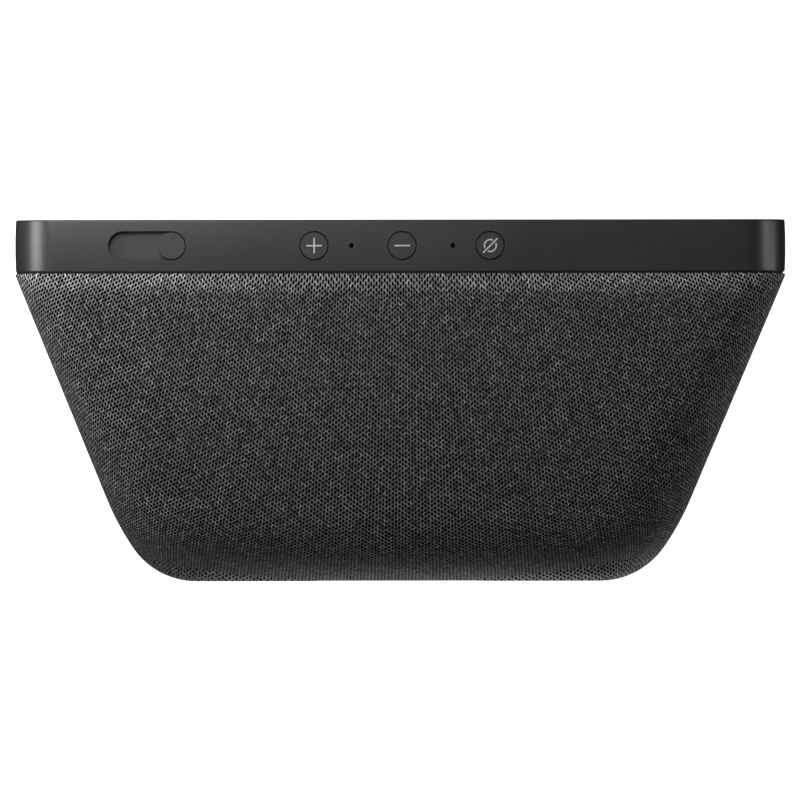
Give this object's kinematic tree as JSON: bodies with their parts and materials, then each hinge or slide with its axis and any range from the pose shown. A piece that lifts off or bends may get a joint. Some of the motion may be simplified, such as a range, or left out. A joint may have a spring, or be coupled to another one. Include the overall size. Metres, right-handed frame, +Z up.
{
  "type": "smart display",
  "caption": "Free-standing smart display: a screen in a thin leaning slab with a camera shutter slider and push buttons on top, on a tapered body in dark knitted fabric.",
  "frame": {"origin": "on the table, below the centre of the object's box", "axes": "+Z up, +X along the width towards the camera shutter, the screen faces -Y"},
  "size_m": [0.2004, 0.0991, 0.1358],
  "materials": {
    "slab_plastic": "fine satin, charcoal",
    "black_glass": "polished, black printed on the back",
    "black_foam": "matte",
    "film": "clear film",
    "lcd": "satin",
    "tray_metal": "brushed",
    "chassis_metal": "stamped",
    "screw_steel": "zinc plated",
    "camera_black": "matte",
    "lens_glass": "coated",
    "board": "solder mask",
    "knob_plastic": "satin, charcoal",
    "vane_plastic": "matte",
    "inner_plastic": "moulded",
    "button_plastic": "satin, charcoal",
    "symbol_ink": "matte",
    "gold_can": "plated",
    "black_rubber": "matte",
    "can_metal": "tin plated",
    "chip_plastic": "moulded epoxy",
    "pad_rubber": "silicone",
    "antenna_film": "film",
    "flex_film": "film",
    "knit": "charcoal knit",
    "foot_rubber": "matte",
    "radiator_metal": "painted",
    "port_plastic": "fine texture",
    "basket_metal": "black",
    "magnet_metal": "zinc plated",
    "cone_paper": "coated paper"
  },
  "bodies": {
    "display_unit": {"front_bezel": "slab_plastic", "cover_glass": "black_glass", "glass_tape": "black_foam", "touch_sensor": "film", "display_panel": "lcd", "backlight_tray": "tray_metal", "chassis_plate": "chassis_metal", "chassis_screws": "screw_steel", "camera_module": "camera_black", "camera_lens": "lens_glass", "camera_board": "board", "light_sensor": "camera_black", "shutter_guide": "inner_plastic", "button_board": "board", "button_switches": "inner_plastic", "microphones": "gold_can", "microphone_seals": "black_rubber", "main_board": "board", "board_screws": "screw_steel", "shield_cans": "can_metal", "board_parts": "chip_plastic", "thermal_pads": "pad_rubber", "heat_sink": "chassis_metal", "antennas": "antenna_film", "display_cable": "flex_film", "control_cable": "flex_film", "rear_housing": "inner_plastic", "fabric_cover": "knit", "housing_seal": "black_foam", "sound_grilles": "inner_plastic", "base_plate": "inner_plastic", "base_screws": "screw_steel", "rubber_foot": "foot_rubber", "speaker_box": "inner_plastic", "speaker_baffle": "inner_plastic", "left_driver_frame": "basket_metal", "left_driver_magnet": "magnet_metal", "left_driver_surround": "black_rubber", "right_driver_frame": "basket_metal", "right_driver_magnet": "magnet_metal", "right_driver_surround": "black_rubber", "radiator_frame": "inner_plastic", "radiator_surround": "black_rubber", "port_plate": "port_plastic", "port_board": "board", "power_inlet": "port_plastic", "power_inlet_pin": "gold_can", "audio_jack": "port_plastic", "service_port": "can_metal"},
    "shutter": {"shutter_slider": "knob_plastic", "shutter_vane": "vane_plastic"},
    "volume_up": {"volume_up_button": "button_plastic", "volume_up_symbol": "symbol_ink"},
    "volume_down": {"volume_down_button": "button_plastic", "volume_down_symbol": "symbol_ink"},
    "mute": {"mute_button": "button_plastic", "mute_symbol": "symbol_ink"},
    "left_cone": {"left_driver_cone": "cone_paper"},
    "right_cone": {"right_driver_cone": "cone_paper"},
    "radiator": {"radiator_plate": "radiator_metal"}
  },
  "joints": [
    {"name": "shutter_slide", "type": "slide", "parent": "display_unit", "child": "shutter", "axis": [1, 0, 0], "range_m": [0, 0.0127]},
    {"name": "volume_up_press", "type": "slide", "parent": "display_unit", "child": "volume_up", "axis": [0, -0.1908, -0.9816], "range_m": [0, 0.0004], "stiffness_N_per_m": 4000},
    {"name": "volume_down_press", "type": "slide", "parent": "display_unit", "child": "volume_down", "axis": [0, -0.1908, -0.9816], "range_m": [0, 0.0004], "stiffness_N_per_m": 4000},
    {"name": "mute_press", "type": "slide", "parent": "display_unit", "child": "mute", "axis": [0, -0.1908, -0.9816], "range_m": [0, 0.0004], "stiffness_N_per_m": 4000},
    {"name": "left_cone_stroke", "type": "slide", "parent": "display_unit", "child": "left_cone", "axis": [0, 0.8339, 0.5519], "range_m": [-0.0012, 0.0012], "stiffness_N_per_m": 1500, "deforming": ["left_driver_surround"]},
    {"name": "right_cone_stroke", "type": "slide", "parent": "display_unit", "child": "right_cone", "axis": [0, 0.8339, 0.5519], "range_m": [-0.0012, 0.0012], "stiffness_N_per_m": 1500, "deforming": ["right_driver_surround"]},
    {"name": "radiator_stroke", "type": "slide", "parent": "display_unit", "child": "radiator", "axis": [0, 0.8339, 0.5519], "range_m": [-0.0012, 0.0012], "stiffness_N_per_m": 1200, "deforming": ["radiator_surround"]}
  ]
}
